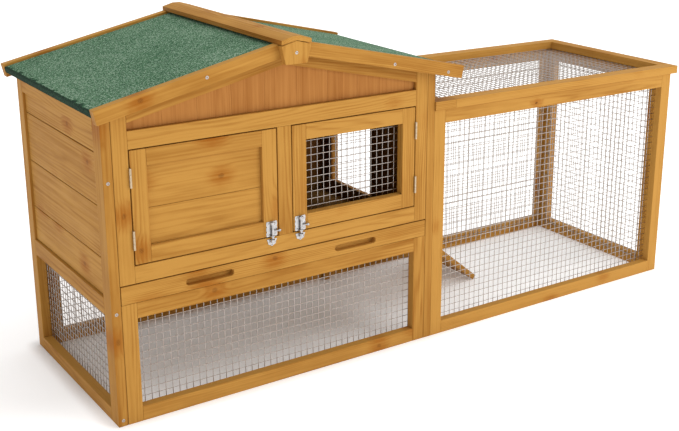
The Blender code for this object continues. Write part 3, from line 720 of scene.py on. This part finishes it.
def ramp():
    pivot, angle, length, y = (0.7110, 0.2455), 39.7 * pi / 180, 0.3695, (0.200, 0.372)
    along = Vector((cos(angle), 0, -sin(angle)))

    def slab(start, end, bottom, top, *span):
        """A prism on the slope: from start to end down it, and from bottom to top square to it."""
        corners = [(start, bottom), (end, bottom), (end, top), (start, top)]
        outline = [(pivot[0] + distance * cos(angle) + lift * sin(angle),
                    pivot[1] - distance * sin(angle) + lift * cos(angle)) for distance, lift in corners]
        return prism(outline, "front", *span)

    board = Piece("ramp_timber", "ramp", "pine_board", ["ramp_board"])
    half = (y[1] - y[0]) / 2
    for number in range(2):
        span = (y[0] + half * number + HAIR, y[0] + half * (number + 1) - HAIR)
        board.add(slab(0.004, length, -0.012, 0, *span), along, along.cross(Y), bevel=0.0010)
    for number in range(5):
        start = 0.035 + number * (length - 0.075) / 4
        cleat = slab(start, start + 0.012, 0.0001, 0.004, y[0] + 0.030, y[1] - 0.030)
        board.add(cleat, Y, along, bevel=0.0008)
    board.finish()
    leaf = Piece("ramp_leaf", "ramp", "hardware")
    leaf.add(slab(0.0045, 0.026, 0.0002, 0.0012, y[0] + 0.032, y[1] - 0.032), bevel=0.0003)
    leaf.finish()


# ---------------------------------------------------------------- run

def run():
    y_front, y_back = (0, STOCK), (DEPTH - STOCK, DEPTH)
    x, z = (WIDTH + GAP, RUN_END), (0, 0.497)
    for word, y in (("front", y_front), ("back", y_back)):
        timber = Piece(f"run_{word}_timber", "house", "pine", [f"run_{word}_frame"], -0.14)
        ring(timber, x, z, y)
        timber.finish()
    timber = Piece("run_end_timber", "house", "pine", ["run_end_frame"], -0.02)
    x, corner_batten = (RUN_END - STOCK, RUN_END), 0.020
    y = (STOCK + GAP, DEPTH - STOCK - GAP)
    post(timber, x, (y[0], y[0] + RAIL), z, thick=X)
    post(timber, x, (y[1] - RAIL, y[1]), z, thick=X)
    post(timber, (RUN_END - RAIL, RUN_END - STOCK - HAIR), (y[0], y[0] + corner_batten), z, thick=X)
    inner = (y[0] + RAIL + HAIR, y[1] - RAIL - HAIR)
    cross(timber, x, inner, (z[0], z[0] + RAIL))
    cross(timber, x, inner, (z[1] - RAIL, z[1]))
    timber.finish()
    lid = Piece("run_lid_timber", "house", "pine", ["run_lid_frame"], -0.12)
    low, high = node_box("run_lid_frame")
    z, wide, split_at_roof_end = (low.z, high.z), 0.0327, 0.757
    # the front rail is in two lengths, split just beyond the roof's edge; the right length has a fixed
    # lighter tone
    rail(lid, (low.x, split_at_roof_end), (low.y, low.y + wide), z, thick=Z, bevel=0.0006)
    rail(lid, (split_at_roof_end + HAIR, high.x), (low.y, low.y + wide), z, thick=Z, tone=-0.10)
    rail(lid, (low.x, high.x), (high.y - wide, high.y), z, thick=Z)
    inner = (low.y + wide + HAIR, high.y - wide - HAIR)
    cross(lid, (low.x, low.x + wide), inner, z, thick=Z)
    cross(lid, (high.x - wide, high.x), inner, z, thick=Z)
    lid.finish()


# ---------------------------------------------------------------- welded mesh

WIRE_RADIUS = 0.00076
MESH_PITCH = (0.0139, 0.0146)


def wires(name, node, axis, side, u_open, v_open, body="house"):
    """Welded mesh in the plane of a CAD sheet. axis is the sheet's normal, and side says on which
    side of the first layer the crossing wires lie. u_open and v_open are the frame's opening, which
    the slight bulge fades towards."""
    low, high = node_box(node)
    u, v = [i for i in range(3) if i != axis]
    plane = (low[axis] + high[axis]) / 2
    seed = rng.uniform(0, 50)
    shape = bmesh.new()

    def bulge(a, b):
        fade = 1.0
        for value, (start, end) in ((a, u_open), (b, v_open)):
            fade *= max(0.0, min(1.0, (value - start) / 0.05, (end - value) / 0.05))
        wave = 0.5 + 0.5 * noise.noise(Vector((a * 5 + seed, b * 5, seed)))
        return side * 0.0012 * fade * wave

    def wire(run_axis, fixed, span, layer):
        across = v if run_axis == u else u
        steps = max(2, int((span[1] - span[0]) / 0.03))
        rings = []
        drift = rng.uniform(-0.00012, 0.00012)
        phase = rng.uniform(0, 20)
        for step in range(steps + 1):
            t = span[0] + (span[1] - span[0]) * step / steps
            place = Vector((0, 0, 0))
            place[run_axis] = t
            weave = noise.noise(Vector((t * 14, fixed * 40, phase)))
            place[across] = fixed + drift + 0.00012 * weave
            place[axis] = plane + side * layer * WIRE_RADIUS * 0.9 + bulge(place[u], place[v])
            corners = []
            for corner in range(6):
                angle = 2 * pi * corner / 6 + pi / 6
                point = place.copy()
                point[axis] += WIRE_RADIUS * cos(angle)
                point[across] += WIRE_RADIUS * sin(angle)
                corners.append(shape.verts.new(point + SHIFT))
            rings.append(corners)
        for one, two in zip(rings, rings[1:]):
            skin(shape, one, two)
        shape.faces.new(rings[0][::-1])
        shape.faces.new(rings[-1])

    for run_axis, across, size, layer in ((u, v, MESH_PITCH[1], -1), (v, u, MESH_PITCH[0], 1)):
        room = high[across] - low[across]
        count = int(room / size)
        first = low[across] + 0.5 * (room - (count - 1) * size)
        for index in range(count):
            wire(run_axis, first + index * size, (low[run_axis] + 0.0005, high[run_axis] - 0.0005), layer)
    obj = as_object(name, outward(shape))
    obj.data.polygons.foreach_set("use_smooth", [True] * len(obj.data.polygons))
    obj.data.materials.append(MATERIALS["wire"])
    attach(obj, body)
    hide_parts(node)


def all_wires():
    house_x, run_x, run_z = (0.047, 0.657), (0.733, 1.382), (RAIL, 0.4685)
    wires("left_side_wires", "left_mesh", 0, 1, (0.035, 0.398), (0.027, 0.209))
    wires("front_lower_wires", "front_lower_mesh", 1, 1, house_x, (RAIL, 0.203))
    wires("back_lower_wires", "back_lower_mesh", 1, -1, house_x, (RAIL, 0.209))
    wires("right_door_wires", "right_door_mesh", 1, 1, (0.4, 0.625), (0.333, 0.482), "right_door")
    wires("run_front_wires", "run_front_mesh", 1, 1, run_x, run_z)
    wires("run_back_wires", "run_back_mesh", 1, -1, run_x, run_z)
    wires("run_end_wires", "run_end_mesh", 0, -1, (0.047, 0.381), run_z)
    wires("run_lid_wires", "run_lid_mesh", 2, -1, (0.738, 1.39), (0.03, 0.39))


# ---------------------------------------------------------------- fasteners and fittings

def circle(radius, sides):
    return [(radius * cos(2 * pi * k / sides), radius * sin(2 * pi * k / sides)) for k in range(sides)]


def turned(profile, sides=20):
    """A solid of revolution about Z. profile: radius and height from the bottom up."""
    shape = bmesh.new()
    rings = []
    for radius, height in profile:
        spots = circle(radius, sides) if radius else [(0, 0)]
        rings.append([shape.verts.new((x, y, height)) for x, y in spots])
    for one, two in zip(rings, rings[1:]):
        for k in range(sides):
            j = (k + 1) % sides
            quad = [one[k % len(one)], one[j % len(one)], two[j % len(two)], two[k % len(two)]]
            unique = [v for i, v in enumerate(quad) if v not in quad[:i]]
            shape.faces.new(unique)
    for end in (rings[0][::-1], rings[-1]):
        if len(end) > 1:
            shape.faces.new(end)
    return outward(shape)


def screw_head(radius=0.0031):
    """A countersunk head with a cross recess: the recess is a star pushed into the top face."""
    shape, sides = bmesh.new(), 24
    rim = [shape.verts.new((x, y, 0.0)) for x, y in circle(radius, sides)]
    top = [shape.verts.new((x, y, 0.00045)) for x, y in circle(0.86 * radius, sides)]
    star = []
    for k in range(sides):
        quarter, step = k // 6 * pi / 2, k % 6
        angle, reach = {0: (quarter, 0.66), 1: (quarter + 0.30, 0.62),
                        5: (quarter + pi / 2 - 0.30, 0.62)}.get(step, (2 * pi * k / sides, 0.30))
        reach *= radius
        star.append(shape.verts.new((reach * cos(angle), reach * sin(angle), 0.00055)))
    floor = [shape.verts.new((v.co.x * 0.75, v.co.y * 0.75, -0.0022)) for v in star]
    low = [shape.verts.new((v.co.x, v.co.y, -0.0026)) for v in rim]
    for one, two in ((low, rim), (rim, top), (top, star), (star, floor)):
        skin(shape, one, two)
    shape.faces.new(floor)
    shape.faces.new(low[::-1])
    return outward(shape)


def put(piece, shape, where, normal, spin=0.0):
    """Places a shape made about the origin, with its +Z turned to the normal."""
    turn = Vector(normal).to_track_quat("Z", "Y").to_matrix().to_4x4()
    place = Matrix.Translation(Vector(where)) @ turn @ Matrix.Rotation(spin, 4, "Z")
    bmesh.ops.transform(shape, matrix=place, verts=shape.verts)
    piece.add(shape, bevel=0)


def screws():
    heads = Piece("house_screws", "house", "hardware")
    lift, inset = 0.0001, 0.0089

    def screw(x, y, z):
        normal = -Y if y < 0 else Y
        put(heads, screw_head(), (x, y, z), normal, rng.uniform(0, pi))

    for z in (0.4597, 0.2189, 0.0116):
        screw(inset, -lift, z)
        for x in (inset, WIDTH - inset):
            screw(x, DEPTH + lift, z)
    for x, z in ((0.1856, 0.6288), (0.5822, 0.6107), (0.7131, 0.5816)):
        screw(x, FRONT_BARGE - lift, z)
        screw(x, BACK_BARGE + lift, z)
    put(heads, screw_head(), (RIDGE_X, -0.0444 - lift, 0.6575), -Y, 0.3)
    heads.finish()


def staples():
    """U-shaped staples that hold the mesh to the inner faces of the frames."""
    house = Piece("mesh_staples", "house", "hardware")
    reach, thick, lift = 0.0052, 0.0006, 0.0016

    def staple(piece, where, inward, along, sunk=0.0008):
        put(piece, turned([(thick, -reach), (thick, reach)], 8), where + inward * lift, along)
        for end in (-reach, reach):
            leg = turned([(thick, 0.0), (thick, lift + sunk)], 8)
            put(piece, leg, where + along * end - inward * sunk, inward)

    def row(start, end, count, inward, along):
        for index in range(count):
            staple(house, Vector(start).lerp(Vector(end), (index + 0.5) / count), inward, along)

    front, back, end, left = STOCK + GAP, DEPTH - STOCK - GAP, RUN_END - STOCK - GAP, STOCK + GAP
    bottom = 0.0215
    for x0, x1, top in ((0.730, 1.375, 0.480), (0.06, 0.64, 0.209)):
        for z in (bottom, top):
            row((x0, front, z), (x1, front, z), 9, Y, X)
            row((x0, back, z), (x1, back, z), 9, -Y, X)
    for z1, count, xs in ((0.45, 6, (0.722, 1.387)), (0.19, 3, (0.034, 0.670))):
        for x in xs:
            if x < 1.3:
                row((x, front, 0.05), (x, front, z1), count, Y, Z)
            row((x, back, 0.05), (x, back, z1), count, -Y, Z)
    for z in (bottom, 0.480):
        row((end, 0.05, z), (end, 0.38, z), 5, -X, Y)
    for y in (0.040, 0.388):
        row((end, y, 0.05), (end, y, 0.45), 6, -X, Z)
    for z in (bottom, 0.2125):
        row((left, 0.05, z), (left, 0.38, z), 5, X, Y)
    house.finish()
    door = Piece("right_door_staples", "right_door", "hardware")
    for x in (0.393, 0.632):
        for z in (0.345, 0.39, 0.43, 0.47):
            staple(door, Vector((x, front, z)), Y, Z, 0.0006)
    door.finish()


def fitting(points, thickness=0.0009, rounding=0.0002):
    """A stamped plate: an outline with round-edged faces, in X and Z, just off the timber's face."""
    curve = bpy.data.curves.new("fitting", "CURVE")
    curve.dimensions, curve.fill_mode = "2D", "BOTH"
    curve.extrude = thickness / 2 - rounding
    curve.bevel_depth, curve.bevel_resolution, curve.offset = rounding, 2, -rounding
    spline = curve.splines.new("POLY")
    spline.points.add(len(points) - 1)
    for point, (u, v) in zip(spline.points, points):
        point.co = (u, v, 0, 1)
    spline.use_cyclic_u = True
    obj = new_object("fitting", curve)
    bpy.context.view_layer.update()
    mesh = obj.evaluated_get(bpy.context.evaluated_depsgraph_get()).to_mesh()
    shape = bmesh.new()
    shape.from_mesh(mesh)
    bpy.data.objects.remove(obj)
    bmesh.ops.remove_doubles(shape, verts=shape.verts, dist=0.00002)
    bmesh.ops.rotate(shape, matrix=Matrix.Rotation(pi / 2, 3, "X"), verts=shape.verts)
    bmesh.ops.translate(shape, vec=(0, -0.00075, 0), verts=shape.verts)
    return shape


def scalloped(x, low, high, half, waves):
    """A plate outline whose two long sides are scalloped between small points."""
    points, steps, depth = [], 10, 0.0013
    for side in (1, -1):
        for wave in range(waves):
            for step in range(steps):
                t = (wave + step / steps) / waves
                z = low + (high - low) * (t if side == 1 else 1 - t)
                dip = depth * abs(sin(pi * step / steps)) ** 0.7
                points.append((x + side * (half - depth + dip), z))
        points.append((x + side * (half - depth), high if side == 1 else low))
    return points


def arch(x, z, height):
    """A guide loop over the bolt: a bent strap of the given height along Z."""
    half, out, wall, steps = 0.0046, 0.0078, 0.0011, 10
    outer, inner = [], []
    for step in range(steps + 1):
        angle = pi * step / steps
        outer.append((x + half * cos(angle), -0.0010 - out * sin(angle) ** 0.8))
        inner.append((x + (half - wall) * cos(angle), -0.0010 - (out - wall) * sin(angle) ** 0.8))
    return prism(outer + inner[::-1], "top", z - height / 2, z + height / 2)


def bolts():
    for side, x in (("left", 0.3217), ("right", 0.3840)):
        word = f"{side}_door"
        guide = Piece(f"{word}_bolt_guide", word, "hardware", [f"{word}_bolt_plate"])
        guide.add(fitting(scalloped(x, 0.3038, 0.3335, 0.0118, 3)), bevel=0)
        for z, height in ((0.3052, 0.0028), (0.3305, 0.0052)):
            guide.add(arch(x, z, height), bevel=0.0002)
        for z in (0.3085, 0.3288):
            for dx in (-0.0078, 0.0078):
                put(guide, screw_head(0.0020), (x + dx, -0.0011, z), -Y, rng.uniform(0, pi))
        guide.finish()
        rod = Piece(f"{side}_bolt_rod", f"{side}_bolt", "hardware", [f"{word}_bolt"])
        axis, tip, knob_z, neck = -0.0050, 0.2990, 0.3147, 0.0118
        length = 0.3347 - tip
        put(rod, turned([(0, 0), (0.0012, 0.0), (0.0021, 0.0009), (0.0022, 0.0014),
                         (0.0022, length - 0.0012), (0.0015, length), (0, length)]), (x, axis, tip), Z)
        put(rod, turned([(0.0014, 0), (0.0014, neck)], 14), (x, axis, knob_z), X)
        put(rod, turned([(0, 0), (0.0016, 0.0001), (0.0027, 0.0010), (0.0031, 0.0024),
                         (0.0029, 0.0040), (0.0019, 0.0054), (0, 0.0060)]), (x + neck, axis, knob_z), X)
        rod.finish()
        keeper = Piece(f"{word}_keeper_plate", "house", "hardware", [f"{word}_keeper"])
        steps, lobes = 30, []
        for step in range(steps + 1):
            angle = pi * step / steps
            radius = 1 + 0.055 * cos(8 * angle)
            lobes.append((x - 0.0101 * radius * cos(angle), 0.2985 - 0.0133 * radius * sin(angle)))
        keeper.add(fitting(lobes), bevel=0)
        keeper.add(arch(x, 0.2957, 0.0052), bevel=0.0002)
        for dx, z in ((-0.0060, 0.2925), (0.0060, 0.2925), (0, 0.2875)):
            put(keeper, screw_head(0.0018), (x + dx, -0.0011, z), -Y, rng.uniform(0, pi))
        keeper.finish()


def paint_cad():
    """The hinges' CAD shapes stay; they only need their finish."""
    for name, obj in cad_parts.items():
        if "hinge" in name:
            obj.data.materials.clear()
            obj.data.materials.append(HINGE)


# ---------------------------------------------------------------- surroundings

def studio():
    half, level = 14.0, -0.0004
    mesh = bpy.data.meshes.new("studio_floor")
    mesh.from_pydata([(-half, -half, level), (half, -half, level), (half, half, level),
                      (-half, half, level)], [], [(0, 1, 2, 3)])
    n = Nodes("studio_paper")
    place = n.node("ShaderNodeTexCoord").outputs["Object"]
    n.link(n.mix(n.noise(place, 3.0, 2.0, 0.5), (0.88, 0.88, 0.88), (0.90, 0.90, 0.90)),
           n.shader.inputs["Base Color"])
    n.shader.inputs["Roughness"].default_value = 0.9
    # painted light: the paper glows though it is no lamp; a little under the hutch, strongly from just
    # outside its foot, more again far away, and more towards the front and the run's end, which lifts the
    # shadows near the hutch and brightens the floor under the house towards the front
    offset = n.vmath("SUBTRACT", place, (0.0013, 0.0089, 0.0))
    offset = n.vmath("SUBTRACT", n.vmath("ABSOLUTE", offset), (0.705, 0.214, 0.0))
    away = n.vmath("LENGTH", n.vmath("MAXIMUM", offset, (0.0, 0.0, 0.0)))
    away = away.node.outputs["Value"]
    floor_painted_light = n.math("ADD", n.smooth(away, 0.0, 0.035, 0.05, 0.36), n.smooth(away, 0.1, 1.6, 0.0, 0.20))
    x, y, _ = n.parts("XYZ", place)
    floor_painted_light = n.math("ADD", floor_painted_light, n.smooth(y, -0.21, 0.0, 0.22, 0.0))
    floor_painted_light = n.math("ADD", floor_painted_light, n.smooth(x, 0.0, 0.25, 0.0, 0.10))
    n.shader.inputs["Emission Color"].default_value = (1, 1, 1, 1)
    n.link(floor_painted_light, n.shader.inputs["Emission Strength"])
    mesh.materials.append(n.material)
    new_object("studio_floor", mesh)
    world = bpy.data.worlds.new("studio")
    bpy.context.scene.world = world
    world.use_nodes = True
    sky = world.node_tree.nodes["Background"].inputs
    sky["Color"].default_value, sky["Strength"].default_value = (1, 1, 1, 1), 0.67

    def area(name, where, target, size, power):
        data = bpy.data.lights.new(name, "AREA")
        data.shape, data.size, data.energy = "SQUARE", size, power
        lamp = new_object(name, data)
        lamp.location = where
        lamp.rotation_euler = (Vector(target) - Vector(where)).to_track_quat("-Z", "Y").to_euler()

    area("overhead", (0.5, -0.3, 3.4), (0.1, 0, 0.2), 3.0, 45)
    area("front_key", (1.9, -3.0, 1.8), (0, 0, 0.3), 2.0, 43)


def camera():
    data = bpy.data.cameras.new("camera")
    data.sensor_fit, data.sensor_width = "HORIZONTAL", 36.0
    data.lens, data.shift_x, data.shift_y = 59.91693667, -0.087879234, -0.049410898
    data.clip_start, data.clip_end = 0.01, 100
    obj = new_object("camera", data)
    yaw, pitch, roll = 0.626, 0.2957, 0.0127
    forward = Vector((sin(yaw) * cos(pitch), cos(yaw) * cos(pitch), -sin(pitch)))
    right = Vector((cos(yaw), -sin(yaw), 0))
    up = right.cross(forward)
    side = right * cos(roll) + up * sin(roll)
    head = up * cos(roll) - right * sin(roll)
    turn = Matrix((side, head, -forward)).transposed().to_4x4()
    obj.matrix_world = Matrix.Translation(Vector((-0.66265, -1.77029, 1.02674)) + SHIFT) @ turn
    bpy.context.scene.camera = obj
    bpy.context.scene.view_settings.view_transform = "Standard"


side_panels()
front_frames()
back_frames()
roof()
door("left_door", (E0 + 0.0023, MULLION[0] - 0.0022))
door("right_door", (MULLION[1] + 0.0022, E1 - 0.0023))
tray()
ramp()
run()
all_wires()
screws()
staples()
bolts()
paint_cad()
studio()
camera()
